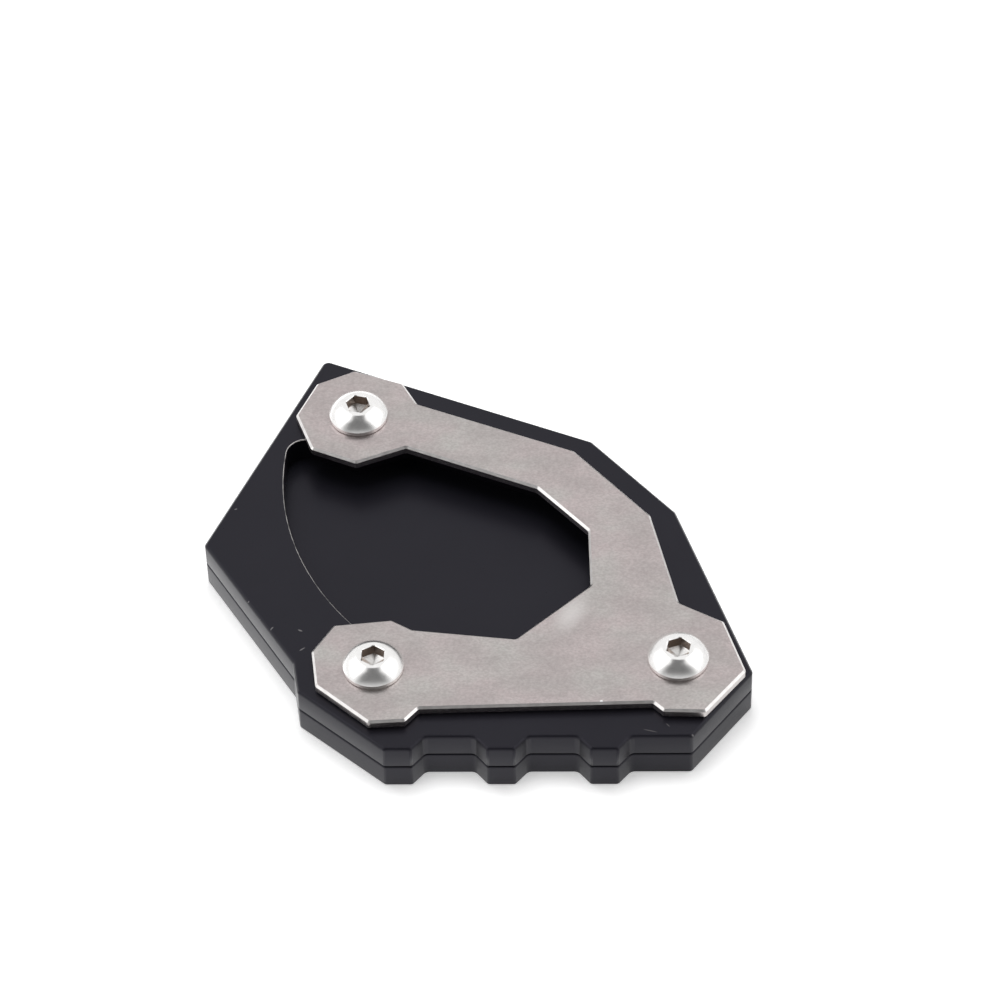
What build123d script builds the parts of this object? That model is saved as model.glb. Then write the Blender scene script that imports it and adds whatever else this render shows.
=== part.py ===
"""Foot enlarger for a motorbike side stand.

Two black plates are stacked to make a wide foot. The lower plate is solid. The upper one has
a window, which makes the pocket that the stand's own foot drops into. A C-shaped steel plate
overlaps the pocket's edge and holds the foot down, and three button-head screws go through
the steel plate and the upper plate into threads in the lower plate.
"""

import os

from build123d import *

# Every size is in millimetres. Plan points are (x, y), from the middle of the width and from
# the line through the tooth tips: +X runs along the toothed front edge and +Y to the back.

# Overall size of the base, and thicknesses
base_width = 99.1
base_depth = 94.7
ground_plate_height = 5.0
pocket_depth = 5.0
clamp_height = 2.0


def place(left=None, right=None, front=None, back=None):
    """The plan point at the given distances from two sides of the base."""
    x = base_width / 2 - right if left is None else left - base_width / 2
    y = base_depth - back if front is None else front
    return (x, y)


# Teeth along the front edge: the first is at the front left corner, and the last has a longer
# plain stretch beside it
tooth_count = 3
tooth_tip_width = 4.8
tooth_depth = 2.8
tooth_flank_run = 2.3
tooth_root_radius = 1.5
tooth_tip_radius = 0.8
plain_front_length = 12.9

# Corners of the base, in order round the outline
front_left = place(left=34.15, front=0)
front_right = place(right=11.05, front=tooth_depth)
right_point = place(right=0, front=17.5)
right_back = place(right=13.25, back=38.9)
back_bend = place(right=28.55, back=21.2)
back_point = place(left=20.25, back=0)
left_point = place(left=0, back=46.7)
left_waist = place(left=17.45, front=20.0)
left_shoulder = place(left=18.55, front=13.2)
point_radius = 1.2
corner_radius = 1.0

# Edge breaks
top_chamfer = 0.6
joint_chamfer = 0.35
ground_chamfer = 0.2
pocket_chamfer = 0.2
clamp_chamfer = 0.4

# M6 button-head screws with a hexagon socket
screw_diameter = 6.0
screw_length = 10.0
screw_tip_chamfer = 0.8
head_diameter = 10.9
head_height = 3.1
head_rim_height = 0.9
head_edge_break = 0.2
head_top_diameter = 5.7
head_dome_radius = 6.5
socket_width = 4.0
socket_depth = 2.1
socket_point_depth = 0.6
screw_hole_clearance = 0.3
thread_clearance = 0.05
thread_lead_in = 0.4

# Where the screws stand, and how far each is turned from a socket with a corner on +X
left_screw = place(left=31.95, front=17.2)
right_screw = place(right=13.25, front=18.9)
rear_screw = place(left=27.25, back=16.5)
left_screw_turn = 27.3
right_screw_turn = 19.0
rear_screw_turn = 48.0

# Ears of the clamp plate: corners counted from the ear's own screw, in order round the outline
left_ear_outside = [(-10.1, -4.3), (-0.5, -12.7), (5.9, -12.3), (8.2, -9.5)]
left_ear_inside = [(6.7, 8.7), (2.9, 11.0), (-7.4, 9.8), (-11.1, 3.7)]
right_ear = [(-4.6, -10.0), (-2.7, -11.9), (4.6, -12.1), (11.9, -2.8), (8.2, 8.7), (0.3, 13.2)]
rear_ear_outside = [(10.8, 3.1), (8.0, 8.3), (-1.2, 11.7), (-8.1, 8.4), (-11.7, 0.2)]
rear_ear_inside = [(-8.5, -8.3), (-0.1, -11.9), (9.0, -8.1)]
clamp_corner_radius = 0.8

# Arms of the clamp plate: their outer edges keep one distance from the base's edges
arm_inset = 5.25
arm_width = 11.2
window_right_back = place(right=29.15, back=45.3)
window_right_front = place(right=28.75, back=58.5)
window_front = place(right=42.05, front=23.7)

# The pocket reaches under the clamp plate, and an arc closes it on the clamp's open side
clamp_lip = 3.5
pocket_arc_radius = 55.0
mouth_front = (1.4, 10.8)
mouth_back = (-9.7, -7.8)

# Heights of the faces where the pieces meet
joint_level = ground_plate_height
seat_level = joint_level + pocket_depth
clamp_top = seat_level + clamp_height

screw_points = [left_screw, right_screw, rear_screw]
screw_turns = [left_screw_turn, right_screw_turn, rear_screw_turn]
shank_radius = screw_diameter / 2
head_radius = head_diameter / 2
crown_radius = head_top_diameter / 2


def around(screw, offsets):
    """Plan points of corners that are counted from a screw."""
    return [(screw[0] + x, screw[1] + y) for x, y in offsets]


def inset_corner(before, corner, after, distance):
    """The plan point that lies one distance inside both edges meeting at a corner."""
    arriving = (Vector(*corner) - Vector(*before)).normalized().rotate(Axis.Z, 90)
    leaving = (Vector(*after) - Vector(*corner)).normalized().rotate(Axis.Z, 90)
    inside = Vector(*corner) + (arriving + leaving) * (distance / (1 + arriving.dot(leaving)))
    return (inside.X, inside.Y)


# Outline of the base: corners with their radii, the teeth first
last_tip_start = front_right[0] - plain_front_length - tooth_tip_width
tooth_pitch = (last_tip_start - front_left[0]) / (tooth_count - 1)
base_corners = [front_left]
base_radii = [corner_radius]
for tooth in range(tooth_count):
    tip_start = front_left[0] + tooth * tooth_pitch
    tip_end = tip_start + tooth_tip_width
    if tooth > 0:
        base_corners += [(tip_start - tooth_flank_run, tooth_depth), (tip_start, 0.0)]
        base_radii += [tooth_root_radius, tooth_tip_radius]
    base_corners += [(tip_end, 0.0), (tip_end + tooth_flank_run, tooth_depth)]
    base_radii += [tooth_tip_radius, tooth_root_radius]
base_corners += [front_right, right_point, right_back, back_bend, back_point, left_point]
base_radii += [corner_radius, point_radius, corner_radius, corner_radius, point_radius, point_radius]
base_corners += [left_waist, left_shoulder]
base_radii += [corner_radius, corner_radius]

with BuildLine() as base_outline:
    FilletPolyline(*base_corners, radius=base_radii, close=True)

# Outline of the clamp plate, out along its outer edge and back along its window
arm_outer_edge = [
    inset_corner(right_point, right_back, back_bend, arm_inset),
    inset_corner(right_back, back_bend, back_point, arm_inset),
]
window_edge = [
    inset_corner(right_back, back_bend, back_point, arm_inset + arm_width),
    window_right_back,
    window_right_front,
    window_front,
]
clamp_corners = (
    around(left_screw, left_ear_outside)
    + around(right_screw, right_ear)
    + arm_outer_edge
    + around(rear_screw, rear_ear_outside + rear_ear_inside)
    + window_edge
    + around(left_screw, left_ear_inside)
)

with BuildLine() as clamp_outline:
    FilletPolyline(*clamp_corners, radius=clamp_corner_radius, close=True)

# Space inside the clamp plate, closed by an arc across its mouth
mouth_ends = around(left_screw, [mouth_front]) + around(rear_screw, [mouth_back])
foot_space_corners = (
    around(rear_screw, [mouth_back] + rear_ear_inside[1:])
    + window_edge
    + around(left_screw, left_ear_inside[:2] + [mouth_front])
)

with BuildLine() as foot_space:
    Polyline(*foot_space_corners)
    RadiusArc(*mouth_ends, radius=pocket_arc_radius - clamp_lip)

# The frame's origin is under the middle of the base
plan_centre = base_outline.line.bounding_box().center()


def level(height):
    """The drawing plane at a height above the ground."""
    return Plane((-plan_centre.X, -plan_centre.Y, height))


os.makedirs("parts", exist_ok=True)

# Lower plate, with a tapped hole for each screw, countersunk at both mouths
with BuildPart() as ground_plate:
    with BuildSketch(level(0)):
        make_face(base_outline.edges())
    extrude(amount=ground_plate_height)
    chamfer(ground_plate.faces().sort_by(Axis.Z)[0].edges(), ground_chamfer)
    chamfer(ground_plate.faces().sort_by(Axis.Z)[-1].edges(), joint_chamfer)
    with Locations(level(joint_level)):
        with Locations(*screw_points):
            Hole(radius=shank_radius + thread_clearance)
    hole_mouths = ground_plate.edges(Select.LAST).filter_by(GeomType.CIRCLE)
    chamfer(hole_mouths, thread_lead_in)
ground_plate.part.label = "ground_plate"
export_step(ground_plate.part, "parts/ground_plate.step")

# Upper plate, with the pocket's window and a clearance hole for each screw
with BuildPart() as pocket_frame:
    with BuildSketch(level(joint_level)):
        make_face(base_outline.edges())
    extrude(amount=pocket_depth)
    chamfer(pocket_frame.faces().sort_by(Axis.Z)[0].edges(), joint_chamfer)
    chamfer(pocket_frame.faces().sort_by(Axis.Z)[-1].edges(), top_chamfer)
    with BuildSketch(level(joint_level)):
        make_face(foot_space.edges())
        offset(amount=clamp_lip)
    extrude(amount=pocket_depth, mode=Mode.SUBTRACT)
    pocket_edges = pocket_frame.faces().sort_by(Axis.Z)[-1].inner_wires().edges()
    chamfer(pocket_edges, pocket_chamfer)
    with Locations(level(seat_level)):
        with Locations(*screw_points):
            Hole(radius=shank_radius + screw_hole_clearance)
pocket_frame.part.label = "pocket_frame"
export_step(pocket_frame.part, "parts/pocket_frame.step")

# C-shaped clamp plate
with BuildPart() as clamp_plate:
    with BuildSketch(level(seat_level)):
        make_face(clamp_outline.edges())
    extrude(amount=clamp_height)
    chamfer(clamp_plate.faces().sort_by(Axis.Z)[-1].edges(), clamp_chamfer)
    chamfer(clamp_plate.faces().sort_by(Axis.Z)[0].edges(), clamp_chamfer)
    with Locations(level(clamp_top)):
        with Locations(*screw_points):
            Hole(radius=shank_radius + screw_hole_clearance)
clamp_plate.part.label = "clamp_plate"
export_step(clamp_plate.part, "parts/clamp_plate.step")

# One screw, standing with the underside of its head on the origin
with BuildPart() as screw:
    with BuildSketch(Plane.XZ):
        with BuildLine():
            Polyline(
                (crown_radius, head_height),
                (0, head_height),
                (0, -screw_length),
                (shank_radius - screw_tip_chamfer, -screw_length),
                (shank_radius, -screw_length + screw_tip_chamfer),
                (shank_radius, 0),
                (head_radius - head_edge_break, 0),
                (head_radius, head_edge_break),
                (head_radius, head_rim_height),
            )
            RadiusArc(
                (head_radius, head_rim_height),
                (crown_radius, head_height),
                radius=-head_dome_radius,
            )
        make_face()
    revolve(axis=Axis.Z)
    with BuildSketch(Plane.XY.offset(head_height)):
        RegularPolygon(radius=socket_width / 2, side_count=6, major_radius=False)
    extrude(amount=-socket_depth, mode=Mode.SUBTRACT)
    with Locations((0, 0, head_height - socket_depth)):
        Cone(
            bottom_radius=0,
            top_radius=socket_width / 2,
            height=socket_point_depth,
            align=(Align.CENTER, Align.CENTER, Align.MAX),
            mode=Mode.SUBTRACT,
        )

# The three screws, seated on the clamp plate
with BuildPart() as clamp_screws:
    with Locations(level(clamp_top)):
        for point, turn in zip(screw_points, screw_turns):
            with Locations(Location(point, turn)):
                add(screw.part)
clamp_screws.part.label = "clamp_screws"
export_step(clamp_screws.part, "parts/clamp_screws.step")
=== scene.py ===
from math import asin, atan2, cos, pi, radians, sin, sqrt

import bmesh
import bpy
from mathutils import Matrix, Vector


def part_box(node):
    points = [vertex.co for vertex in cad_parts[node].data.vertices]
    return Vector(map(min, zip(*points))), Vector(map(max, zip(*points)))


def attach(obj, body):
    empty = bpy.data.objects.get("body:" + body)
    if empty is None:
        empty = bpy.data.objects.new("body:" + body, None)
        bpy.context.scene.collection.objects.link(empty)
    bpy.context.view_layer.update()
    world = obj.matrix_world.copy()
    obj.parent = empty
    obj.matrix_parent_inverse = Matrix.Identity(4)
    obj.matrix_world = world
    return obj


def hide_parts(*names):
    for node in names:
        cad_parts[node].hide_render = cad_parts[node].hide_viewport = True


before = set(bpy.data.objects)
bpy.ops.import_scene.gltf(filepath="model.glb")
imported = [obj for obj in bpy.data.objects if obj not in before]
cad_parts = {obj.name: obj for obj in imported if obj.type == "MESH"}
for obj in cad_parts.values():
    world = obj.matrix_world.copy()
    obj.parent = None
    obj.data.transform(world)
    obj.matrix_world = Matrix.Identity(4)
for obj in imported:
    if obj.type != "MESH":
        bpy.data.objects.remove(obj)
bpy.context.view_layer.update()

# Sizes are written in millimetres, and the frame is in metres.
MM = 0.001

# Points nearer than the weld are joined. Edges under the angles are flat, or are shaded smooth.
WELD = 0.0005
FLAT_ANGLE = radians(0.6)
ROLLED_ANGLE = radians(50)
CUT_ANGLE = radians(30)

# Button-head screws, counted up from the face that the head sits on
SCREW_STEPS = 96
DOME_STEPS = 12
HEAD_RADIUS = 5.45
HEAD_HEIGHT = 3.1
HEAD_RIM = 0.9
HEAD_BREAK = 0.2
CROWN_RADIUS = 2.85
DOME_RADIUS = 6.5
SHANK_RADIUS = 3.0
SHANK_LENGTH = 10.0
TIP_CHAMFER = 0.8
SOCKET_WIDTH = 4.0
SOCKET_DEPTH = 2.1
SOCKET_POINT = 0.6
SOCKET_MOUTH_RADIUS = 2.34
SOCKET_MOUTH_DEPTH = 0.1
SCREW_EDGE_ANGLE = radians(30)
SCREW_TURNS = (27.3, 19.0, 48.0)

# Thread that shows in the holes of the ground plate, below the screws' tips
THREAD_PITCH = 1.0
THREAD_FLANK = 0.45
THREAD_STEPS = 48
THREAD_ROOT = 3.06
THREAD_CREST = 2.62
THREAD_START = 0.75


class Field:
    """A value that changes over a surface. Arithmetic on it adds Math nodes."""

    def __init__(self, finish, socket):
        self.finish = finish
        self.socket = socket

    def math(self, operation, *others):
        inputs = dict(enumerate((self,) + others))
        return self.finish.node("ShaderNodeMath", {"operation": operation}, inputs)

    def __add__(self, other):
        return self.math("ADD", other)

    def __sub__(self, other):
        return self.math("SUBTRACT", other)

    def __mul__(self, other):
        return self.math("MULTIPLY", other)

    def __truediv__(self, other):
        return self.math("DIVIDE", other)

    def __rsub__(self, other):
        return (self * -1) + other

    __radd__ = __add__
    __rmul__ = __mul__

    def at_least(self, other):
        return self.math("MAXIMUM", other)

    def size(self):
        return self.math("ABSOLUTE")

    def rise(self, low, high):
        """0 below low, 1 above high, and a smooth step between them."""
        settings = {"interpolation_type": "SMOOTHSTEP"}
        inputs = {0: self, 1: low, 2: high, 3: 0.0, 4: 1.0}
        return self.finish.node("ShaderNodeMapRange", settings, inputs)

    def spread(self, low, high):
        """The range from 0 to 1 stretched over the range from low to high."""
        inputs = {0: self, 1: 0.0, 2: 1.0, 3: low, 4: high}
        return self.finish.node("ShaderNodeMapRange", {}, inputs)


class Finish:
    """The nodes of a material or of the world."""

    def __init__(self, owner):
        owner.use_nodes = True
        self.owner = owner
        self.tree = owner.node_tree
        self.tree.nodes.clear()

    def node(self, kind, settings, inputs, output=0):
        """Makes a node: its settings first, then the values or links of its sockets."""
        made = self.tree.nodes.new(kind)
        for key, value in settings.items():
            setattr(made, key, value)
        for key, value in inputs.items():
            if isinstance(value, Field):
                self.tree.links.new(value.socket, made.inputs[key])
            else:
                made.inputs[key].default_value = value
        return Field(self, made.outputs[output]) if made.outputs else None

    def place(self):
        return self.node("ShaderNodeTexCoord", {}, {}, "Object")

    def along(self, place, axis):
        """One coordinate of a place."""
        return self.node("ShaderNodeSeparateXYZ", {}, {0: place}, axis)

    def stretched(self, place, along_x, along_y, along_z):
        """A place for patterns that are drawn out along the axes."""
        scale = (1 / along_x, 1 / along_y, 1 / along_z)
        return self.node("ShaderNodeMapping", {}, {"Vector": place, "Scale": scale})

    def grain(self, place, spacing, detail=2.0, rough=0.5):
        """Noise from 0 to 1, with specks of the given spacing in millimetres."""
        inputs = {
            "Vector": place,
            "Scale": 1 / (spacing * MM),
            "Detail": detail,
            "Roughness": rough,
        }
        return self.node("ShaderNodeTexNoise", {}, inputs)

    def marks(self, place, spots, solid=0.5):
        """1 on marks, each with its place, its length and width, and its turn in plan.

        A mark is solid out to that share of its size, and fades from there to its edge.
        """
        union = None
        for x, y, z, length, width, turn in spots:
            inputs = {
                "Vector": place,
                "Location": Vector((x, y, z)) * MM,
                "Rotation": (0, 0, radians(turn)),
                "Scale": Vector((length / 2, width / 2, MARK_REACH)) * MM,
            }
            near = self.node("ShaderNodeMapping", {"vector_type": "TEXTURE"}, inputs)
            away = self.node("ShaderNodeVectorMath", {"operation": "LENGTH"}, {0: near}, "Value")
            mark = 1 - away.rise(solid, 1.0)
            union = mark if union is None else union.at_least(mark)
        return union

    def blend(self, amount, first, second):
        """A colour between two colours."""
        inputs = {0: amount, 6: first, 7: second}
        return self.node("ShaderNodeMix", {"data_type": "RGBA"}, inputs, 2)

    def bumps(self, height, depth):
        """A surface roughened to the given depth in millimetres."""
        inputs = {"Height": height, "Distance": depth * MM, "Strength": 1.0}
        return self.node("ShaderNodeBump", {}, inputs)

    def surface(self, **inputs):
        """Closes a material. The shader's sockets are named with underscores for spaces."""
        sockets = {name.replace("_", " "): value for name, value in inputs.items()}
        shader = self.node("ShaderNodeBsdfPrincipled", {}, sockets)
        self.node("ShaderNodeOutputMaterial", {}, {"Surface": shader})
        return self.owner


def new_finish(name):
    return Finish(bpy.data.materials.new(name))


def colour(red, green, blue):
    return (red, green, blue, 1.0)


# Marks on the black plates and on the clamp plate, and painted light on the clamp: place, length,
# width and turn. A mark reaches a little way up and down, so that it also shows on the chamfer
# beside it.
MARK_REACH = 0.5
SCRATCH_STRENGTH = 0.3
NICK_STRENGTH = 0.45
PAINTED_REFLECTION_STRENGTH = 0.7
BLACK_NICKS = [
    (-36.23, -19.33, 10.0, 1.1, 0.34, 48),
    (-31.10, -19.85, 10.0, 1.1, 0.38, -26),
    (-30.54, -24.20, 10.0, 1.5, 0.30, 39),
    (-38.60, -16.90, 9.8, 0.7, 0.5, 30),
    (-40.77, -12.82, 9.8, 0.5, 0.4, 30),
    (-44.20, 9.41, 10.0, 0.7, 0.35, 20),
    (38.69, -43.92, 9.8, 0.7, 0.6, 0),
]
BLACK_SCRATCHES = [
    (31.20, -43.10, 10.0, 3.0, 0.3, -15),
    (34.30, -41.84, 10.0, 1.2, 0.3, -50),
]
# Small burrs on the clamp's edges, painted white: partly real burrs, partly painted glints.
CLAMP_BURR_GLINTS = [
    (22.67, -38.03, 12.0, 0.7, 0.5, 0),
    (9.59, -38.84, 10.3, 0.5, 0.5, 0),
    (35.86, -40.42, 11.7, 0.6, 0.5, 0),
]
# A pale patch on the clamp near the window: a painted reflection.
CLAMP_PAINTED_REFLECTION = [(17.3, -17.9, 12.0, 13.0, 7.0, 61)]

# Satin steel: where its soft clouds and its grain begin and end in the noise, and their strength
CLOUD_EDGES = 0.35, 0.65
GRAIN_EDGES = 0.3, 0.7
CLOUD_STRENGTH = 0.65
MOTTLE_STRENGTH = 0.4
GRAIN_STRENGTH = 0.45


def black_anodise():
    """Satin black anodising: a fine blasted grain, slight differences in shade, and a few nicks."""
    finish = new_finish("black_anodise")
    place = finish.place()
    clouds = finish.grain(place, 14.0)
    grain = finish.grain(place, 0.35, detail=3.0)
    scratches = finish.marks(place, BLACK_SCRATCHES) * SCRATCH_STRENGTH
    nicks = finish.marks(place, BLACK_NICKS) * NICK_STRENGTH
    shade = finish.blend(clouds, colour(0.0065, 0.0062, 0.0088), colour(0.0098, 0.0094, 0.0130))
    shade = finish.blend(scratches, shade, colour(0.20, 0.19, 0.19))
    shade = finish.blend(nicks, shade, colour(0.32, 0.31, 0.31))
    return finish.surface(
        Base_Color=shade,
        Roughness=grain.spread(0.24, 0.38),
        Specular_IOR_Level=0.25,
        Specular_Tint=colour(0.87, 0.85, 1.0),
        Normal=finish.bumps(grain, 0.003),
    )


def rubbed_edge():
    """Anodising rubbed bright along an edge."""
    finish = new_finish("rubbed_edge")
    place = finish.place()
    wear = finish.grain(place, 2.5, detail=3.0).rise(0.3, 0.6)
    return finish.surface(
        Base_Color=finish.blend(wear, colour(0.12, 0.115, 0.12), colour(0.55, 0.53, 0.52)),
        Metallic=1.0,
        Roughness=0.35,
    )


def satin_steel():
    """Satin stainless steel: warm grey, finely grained, with soft clouds in shade and hue."""
    finish = new_finish("satin_steel")
    place = finish.place()
    drawn = finish.stretched(place, 1.5, 1.0, 1.0)
    grain = finish.grain(drawn, 0.34, detail=2.0, rough=0.6)
    mottle = finish.grain(place, 1.1, detail=4.0, rough=0.6)
    clouds = finish.grain(drawn, 6.0, detail=3.0)
    tints = finish.grain(drawn, 8.5, detail=3.0)
    # Painted reflection: a pale patch on the steel near the window.
    painted_reflection = finish.marks(place, CLAMP_PAINTED_REFLECTION, solid=0) * PAINTED_REFLECTION_STRENGTH
    rosy = colour(0.529, 0.458, 0.456)
    greenish = colour(0.504, 0.493, 0.471)
    shade = finish.blend(tints.rise(*CLOUD_EDGES), rosy, greenish)
    clouded = clouds.rise(*CLOUD_EDGES) * CLOUD_STRENGTH
    shade = finish.blend(clouded, shade, colour(0.390, 0.352, 0.347))
    mottled = mottle.rise(*GRAIN_EDGES) * MOTTLE_STRENGTH
    shade = finish.blend(mottled, shade, colour(0.580, 0.536, 0.527))
    grained = grain.rise(*GRAIN_EDGES) * GRAIN_STRENGTH
    shade = finish.blend(grained, shade, colour(0.330, 0.295, 0.290))
    shade = finish.blend(painted_reflection, shade, colour(0.68, 0.65, 0.64))
    # Burrs painted white as glints: partly real burrs, partly painted highlight.
    shade = finish.blend(finish.marks(place, CLAMP_BURR_GLINTS), shade, colour(1.0, 1.0, 1.0))
    return finish.surface(
        Base_Color=shade,
        Metallic=1.0,
        Roughness=grain.spread(0.28, 0.38),
        Normal=finish.bumps(grain, 0.003),
    )


def bright_edge():
    """Stainless steel that shines where an edge was broken."""
    finish = new_finish("bright_edge")
    wear = finish.grain(finish.place(), 1.5, detail=3.0)
    return finish.surface(
        Base_Color=finish.blend(wear, colour(0.55, 0.53, 0.52), colour(0.88, 0.86, 0.85)),
        Metallic=1.0,
        Roughness=wear.spread(0.26, 0.36),
    )


def cut_wall():
    """Stainless steel with the rough face of a cut."""
    finish = new_finish("cut_wall")
    cut = finish.grain(finish.stretched(finish.place(), 1.0, 1.0, 4.0), 0.8, detail=3.0)
    return finish.surface(
        Base_Color=finish.blend(cut, colour(0.44, 0.41, 0.40), colour(0.58, 0.55, 0.54)),
        Metallic=1.0,
        Roughness=cut.spread(0.26, 0.33),
        Normal=finish.bumps(cut, 0.006),
    )


def polished_steel():
    """Bright stainless steel with faint smears."""
    finish = new_finish("polished_steel")
    place = finish.place()
    smears = finish.grain(place, 1.2, detail=4.0)
    return finish.surface(
        Base_Color=finish.blend(smears, colour(0.82, 0.81, 0.80), colour(0.94, 0.93, 0.92)),
        Metallic=1.0,
        Roughness=smears.spread(0.18, 0.28),
    )


def dull_shaded_steel():
    """Stainless steel with a brown film and painted shade, where a tool grips in the socket."""
    finish = new_finish("dull_shaded_steel")
    film = finish.grain(finish.place(), 0.6, detail=3.0)
    return finish.surface(
        Base_Color=finish.blend(film, colour(0.22, 0.17, 0.14), colour(0.36, 0.30, 0.26)),
        Metallic=1.0,
        Roughness=film.spread(0.3, 0.4),
    )


def shade_smooth(work, sharp_angle):
    for face in work.faces:
        face.smooth = True
    for edge in work.edges:
        edge.smooth = edge.calc_face_angle(0.0) < sharp_angle


def new_piece(name, work, *finishes):
    """Puts a worked shape into the scene."""
    mesh = bpy.data.meshes.new(name)
    work.to_mesh(mesh)
    work.free()
    for finish in finishes:
        mesh.materials.append(finish)
    piece = bpy.data.objects.new(name, mesh)
    bpy.context.scene.collection.objects.link(piece)
    return piece


def finished_piece(name, work, record_slot, node, *finishes):
    """Makes the piece that stands for a node."""
    piece = new_piece(name, work, *finishes)
    shading = piece.modifiers.new("even_shading", "WEIGHTED_NORMAL")
    shading.keep_sharp = True
    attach(piece, "root")
    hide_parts(node)


def welded_copy(node):
    work = bmesh.new()
    work.from_mesh(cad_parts[node].data)
    bmesh.ops.remove_doubles(work, verts=work.verts, dist=WELD * MM)
    return work


# How steep a plate's faces are, from the upright part of their normals
LEVEL_SLOPE = 0.9
CHAMFER_SLOPE = 0.3

# Order of the finishes on the pieces that have several
BLACK, RUBBED = 0, 1
SATIN, BRIGHT, CUT = 0, 1, 2
POLISHED, DULL_SHADED = 0, 1


def frame_finish(face):
    """The chamfer round the pocket is rubbed bright, and the rest is black."""
    faces_the_pocket = face.normal.xy.dot(face.calc_center_median().xy) < 0
    is_chamfer = CHAMFER_SLOPE < face.normal.z < LEVEL_SLOPE
    return RUBBED if faces_the_pocket and is_chamfer else BLACK


def clamp_finish(face):
    """The flat sides are satin, the broken edges are bright, and the cut walls are rough."""
    slope = abs(face.normal.z)
    if slope > LEVEL_SLOPE:
        return SATIN
    return BRIGHT if slope > CHAMFER_SLOPE else CUT


def plate_copy(node, sharp_angle, finish_of=None):
    """A welded copy of a plate, with its flat faces made whole."""
    work = welded_copy(node)
    bmesh.ops.dissolve_limit(work, angle_limit=FLAT_ANGLE, verts=work.verts, edges=work.edges)
    if finish_of:
        for face in work.faces:
            face.material_index = finish_of(face)
    shade_smooth(work, sharp_angle)
    return work


def screw_axes():
    """The middles of the three screws in plan, from the front to the back."""
    work = welded_copy("clamp_screws")
    left = set(work.verts)
    middles = []
    while left:
        waiting = [left.pop()]
        solid = []
        while waiting:
            vert = waiting.pop()
            solid.append(vert.co.copy())
            beside = {other for edge in vert.link_edges for other in edge.verts} & left
            left -= beside
            waiting += beside
        x = [point.x for point in solid]
        y = [point.y for point in solid]
        middles.append(Vector((min(x) + max(x), min(y) + max(y), 0)) / 2)
    work.free()
    return sorted(middles, key=lambda middle: middle.y)


def add_copies(work, pattern, places):
    """Adds a copy of a pattern, which is in millimetres, at each of the places."""
    for place in places:
        mesh = bpy.data.meshes.new("copy")
        pattern.to_mesh(mesh)
        mesh.transform(place @ Matrix.Scale(MM, 4))
        work.from_mesh(mesh)
        bpy.data.meshes.remove(mesh)
    pattern.free()


def sink_edge(work, edges, place):
    """Draws a closed edge inwards or down: each of its points is copied to a new place."""
    drawn = bmesh.ops.extrude_edge_only(work, edges=edges)["geom"]
    for vert in drawn:
        if isinstance(vert, bmesh.types.BMVert):
            vert.co = place(vert.co)
    return [edge for edge in work.edges if edge.is_boundary]


def hexagon_point(point):
    """Where the socket's hexagon, with a corner on the x axis, lies in a point's direction."""
    angle = atan2(point.y, point.x)
    reach = SOCKET_WIDTH / 2 / cos(angle % (pi / 3) - pi / 6)
    return Vector((reach * cos(angle), reach * sin(angle), HEAD_HEIGHT - SOCKET_MOUTH_DEPTH))


def socket_floor(point):
    return Vector((point.x, point.y, HEAD_HEIGHT - SOCKET_DEPTH))


def button_head_screw():
    """One screw, with the underside of its head on the origin."""
    work = bmesh.new()
    # The dome's outline is swung about its own centre from the crown to the rim.
    crown = Vector((CROWN_RADIUS, 0, HEAD_HEIGHT))
    rim = Vector((HEAD_RADIUS, 0, HEAD_RIM))
    half_chord = (rim - crown).length / 2
    inward = Vector((rim.z - crown.z, 0, crown.x - rim.x)).normalized()
    centre = (crown + rim) / 2 + inward * sqrt(DOME_RADIUS**2 - half_chord**2)
    first = work.verts.new(crown)
    swing = bmesh.ops.spin(
        work,
        geom=[first],
        cent=centre,
        axis=(0, 1, 0),
        angle=2 * asin(half_chord / DOME_RADIUS),
        steps=DOME_STEPS,
    )
    last = [item for item in swing["geom_last"] if isinstance(item, bmesh.types.BMVert)][0]
    mouth = work.verts.new((SOCKET_MOUTH_RADIUS, 0, HEAD_HEIGHT))
    work.edges.new((mouth, first))
    below = [
        (HEAD_RADIUS, HEAD_BREAK),
        (HEAD_RADIUS - HEAD_BREAK, 0),
        (SHANK_RADIUS, 0),
        (SHANK_RADIUS, TIP_CHAMFER - SHANK_LENGTH),
        (SHANK_RADIUS - TIP_CHAMFER, -SHANK_LENGTH),
        (0, -SHANK_LENGTH),
    ]
    for radius, height in below:
        corner = work.verts.new((radius, 0, height))
        work.edges.new((last, corner))
        last = corner
    bmesh.ops.spin(
        work,
        geom=list(work.verts) + list(work.edges),
        cent=(0, 0, 0),
        axis=(0, 0, 1),
        angle=2 * pi,
        steps=SCREW_STEPS,
        use_merge=True,
    )
    bmesh.ops.remove_doubles(work, verts=work.verts, dist=WELD)

    # A coned mouth leads from the crown to the socket's hexagon, whose floor is a cone.
    mouth = [edge for edge in work.edges if edge.is_boundary]
    hexagon = sink_edge(work, mouth, hexagon_point)
    outside = set(work.faces)
    foot = sink_edge(work, hexagon, socket_floor)
    # The socket's walls: a brown film, with painted shade deep in the socket.
    for wall in set(work.faces) - outside:
        wall.material_index = DULL_SHADED
    closed = bmesh.ops.contextual_create(work, geom=foot)
    closed["faces"][0].material_index = POLISHED
    cone = bmesh.ops.poke(work, faces=closed["faces"])
    bmesh.ops.translate(work, verts=cone["verts"], vec=(0, 0, -SOCKET_POINT))
    bmesh.ops.recalc_face_normals(work, faces=work.faces)
    shade_smooth(work, SCREW_EDGE_ANGLE)
    return work


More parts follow.
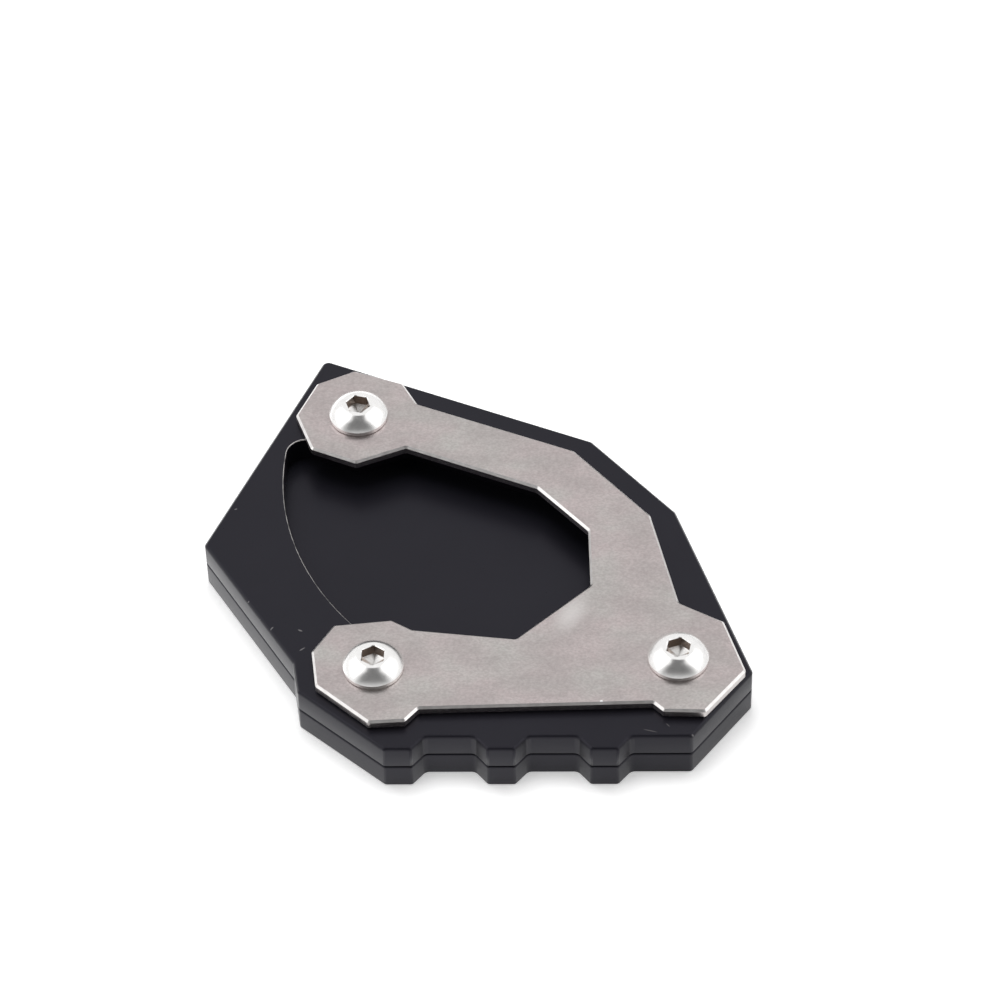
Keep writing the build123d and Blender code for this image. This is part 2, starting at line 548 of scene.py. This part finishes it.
def thread_ridge():
    """One turn of a thread, as it stands out from the wall of its hole."""
    work = bmesh.new()
    profile = [(THREAD_ROOT, -THREAD_FLANK), (THREAD_CREST, 0), (THREAD_ROOT, THREAD_FLANK)]
    corners = [work.verts.new((radius, 0, THREAD_START + height)) for radius, height in profile]
    end = work.faces.new(corners)
    bmesh.ops.spin(
        work,
        geom=corners + list(end.edges) + [end],
        cent=(0, 0, 0),
        axis=(0, 0, 1),
        dvec=(0, 0, THREAD_PITCH / THREAD_STEPS),
        angle=2 * pi,
        steps=THREAD_STEPS,
    )
    bmesh.ops.recalc_face_normals(work, faces=work.faces)
    shade_smooth(work, SCREW_EDGE_ANGLE)
    return work


# Pieces
black = black_anodise()
axes = screw_axes()

ground = plate_copy("ground_plate", ROLLED_ANGLE)
add_copies(ground, thread_ridge(), [Matrix.Translation(axis) for axis in axes])
finished_piece("ground_plate_finished", ground, "black_anodised", "ground_plate", black)

pocket = plate_copy("pocket_frame", ROLLED_ANGLE, frame_finish)
blacks = black, rubbed_edge()
finished_piece("pocket_frame_finished", pocket, "black_anodised", "pocket_frame", *blacks)

clamp = plate_copy("clamp_plate", CUT_ANGLE, clamp_finish)
clamp_steels = satin_steel(), bright_edge(), cut_wall()
finished_piece("clamp_plate_finished", clamp, "clamp_steel", "clamp_plate", *clamp_steels)

seat = Vector((0, 0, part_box("clamp_plate")[1].z))
screws = bmesh.new()
add_copies(
    screws,
    button_head_screw(),
    [
        Matrix.Translation(axis + seat) @ Matrix.Rotation(radians(turn), 4, "Z")
        for axis, turn in zip(axes, SCREW_TURNS)
    ],
)
screw_steels = polished_steel(), dull_shaded_steel()
finished_piece("clamp_screws_turned", screws, "screw_steel", "clamp_screws", *screw_steels)

# Floor, card and light, in metres. In gloss the floor glows with painted light, most at the left
# and in front.
FLOOR_SIZE = 6.0
FLOOR_SHADE = 0.90
FLOOR_LIFT = 0.41
FLOOR_GLOSS = 0.50
FLOOR_RIGHT_FADE = -0.05, 0.09
FLOOR_BACK_FADE = 0.01, 0.06
SKY_LIGHT = 0.15
CARD_SIDE_FADE = 0.7
CARD_FOOT_FADE = 0.1, 0.42


def rays(finish, kind):
    """1 for the rays of a kind, and 0 for all others."""
    return finish.node("ShaderNodeLightPath", {}, {}, f"Is {kind} Ray")


def backdrop_rays(finish):
    """1 for rays that show the background: from the camera, from gloss and through glass."""
    seen = rays(finish, "Camera").at_least(rays(finish, "Glossy"))
    return seen.at_least(rays(finish, "Transmission"))


def stage_piece(name, work, finish):
    piece = new_piece(name, work, finish)
    return piece


def pale_floor():
    finish = new_finish("pale_floor")
    shade = colour(FLOOR_SHADE, FLOOR_SHADE, FLOOR_SHADE)
    matt = finish.node("ShaderNodeBsdfDiffuse", {}, {"Color": shade})
    place = finish.place()
    leftward = 1 - finish.along(place, "X").rise(*FLOOR_RIGHT_FADE)
    behind = finish.along(place, "Y").rise(*FLOOR_BACK_FADE)
    # Painted light: in gloss the floor glows brighter at the left and in front, and less behind.
    shine = leftward * FLOOR_GLOSS - behind * FLOOR_LIFT
    strength = backdrop_rays(finish) * FLOOR_LIFT + rays(finish, "Glossy") * shine
    lift = finish.node("ShaderNodeEmission", {}, {"Strength": strength})
    both = finish.node("ShaderNodeAddShader", {}, {0: matt, 1: lift})
    finish.node("ShaderNodeOutputMaterial", {}, {"Surface": both})
    work = bmesh.new()
    bmesh.ops.create_grid(work, x_segments=1, y_segments=1, size=FLOOR_SIZE / 2)
    stage_piece("floor", work, finish.owner)


def white_room():
    world = bpy.data.worlds.new("white_room")
    bpy.context.scene.world = world
    finish = Finish(world)
    strength = backdrop_rays(finish).spread(SKY_LIGHT, 1.0)
    sky = finish.node("ShaderNodeBackground", {}, {"Color": colour(1, 1, 1), "Strength": strength})
    finish.node("ShaderNodeOutputWorld", {}, {"Surface": sky})


def facing_the_object(azimuth, elevation, distance):
    """A place round the object, turned to it: azimuth 0 is on the toothed side, 90 on the right."""
    a, e = radians(azimuth), radians(elevation)
    out = Vector((sin(a) * cos(e), -cos(a) * cos(e), sin(e)))
    return Matrix.Translation(out * distance) @ out.to_track_quat("Z", "Y").to_matrix().to_4x4()


def softbox(name, stand, power, width, shines_in_gloss):
    """A square lamp that the camera doesn't see."""
    lamp = bpy.data.lights.new(name, "AREA")
    lamp.shape = "RECTANGLE"
    lamp.size = width
    lamp.size_y = width
    lamp.energy = power
    box = bpy.data.objects.new(name, lamp)
    box.matrix_world = stand
    box.visible_camera = False
    box.visible_glossy = shines_in_gloss
    bpy.context.scene.collection.objects.link(box)


def grey_card(name, stand, lower_width, upper_width, height, shade):
    """A card that shows only in gloss, and fades to white at its sides and foot."""
    work = bmesh.new()
    bmesh.ops.create_grid(work, x_segments=1, y_segments=1, size=0.5)
    for vert in work.verts:
        vert.co.x *= upper_width if vert.co.y > 0 else lower_width
        vert.co.y *= height
    bmesh.ops.transform(work, matrix=stand, verts=work.verts)
    heights = [vert.co.z for vert in work.verts]
    low = min(heights)
    high = max(heights)
    finish = new_finish(name)
    place = finish.place()
    climb = (finish.along(place, "Z") - low) / (high - low)
    half_width = climb.spread(lower_width / 2, upper_width / 2)
    side = (finish.along(place, "X").size() / half_width).rise(1 - CARD_SIDE_FADE, 1.0)
    foot = 1 - climb.rise(*CARD_FOOT_FADE)
    tone = finish.blend(side.at_least(foot), colour(shade, shade, shade), colour(1, 1, 1))
    glow = finish.node("ShaderNodeEmission", {}, {"Color": tone, "Strength": 1.0})
    finish.node("ShaderNodeOutputMaterial", {}, {"Surface": glow})
    card = stage_piece(name, work, finish.owner)
    card.visible_camera = False
    card.visible_diffuse = False
    card.visible_shadow = False


# Camera, in millimetres and degrees
CAMERA_AIM = Vector((3.9, 20.5, 0.0))
CAMERA_AZIMUTH = 2.0
CAMERA_ELEVATION = 47.8
CAMERA_ROLL = 1.7
CAMERA_DISTANCE = 811.0
CAMERA_LENS = 156.6
SENSOR_WIDTH = 36.0


def photo_camera():
    a, e, r = radians(CAMERA_AZIMUTH), radians(CAMERA_ELEVATION), radians(CAMERA_ROLL)
    forward = Vector((-sin(a) * cos(e), cos(a) * cos(e), -sin(e)))
    right = Vector((cos(a), sin(a), 0))
    up = right.cross(forward)
    across = right * cos(r) - up * sin(r)
    upward = right * sin(r) + up * cos(r)
    turn = Matrix((across, upward, -forward)).transposed().to_4x4()
    camera = bpy.data.objects.new("camera", bpy.data.cameras.new("camera"))
    camera.data.sensor_width = SENSOR_WIDTH
    camera.data.lens = CAMERA_LENS
    camera.matrix_world = Matrix.Translation((CAMERA_AIM - forward * CAMERA_DISTANCE) * MM) @ turn
    bpy.context.scene.collection.objects.link(camera)
    bpy.context.scene.camera = camera


pale_floor()
white_room()
overhead = facing_the_object(azimuth=200, elevation=76, distance=1.6)
softbox("overhead_light", overhead, power=17.0, width=0.9, shines_in_gloss=False)
for name, azimuth in (("left_light", -95), ("right_light", 95)):
    beside = facing_the_object(azimuth, elevation=45, distance=1.4)
    softbox(name, beside, power=4.5, width=1.4, shines_in_gloss=True)
in_front = facing_the_object(azimuth=0, elevation=50, distance=1.5)
grey_card("front_card", in_front, lower_width=8.4, upper_width=0.7, height=3.0, shade=0.18)
photo_camera()
bpy.context.scene.view_settings.view_transform = "Standard"
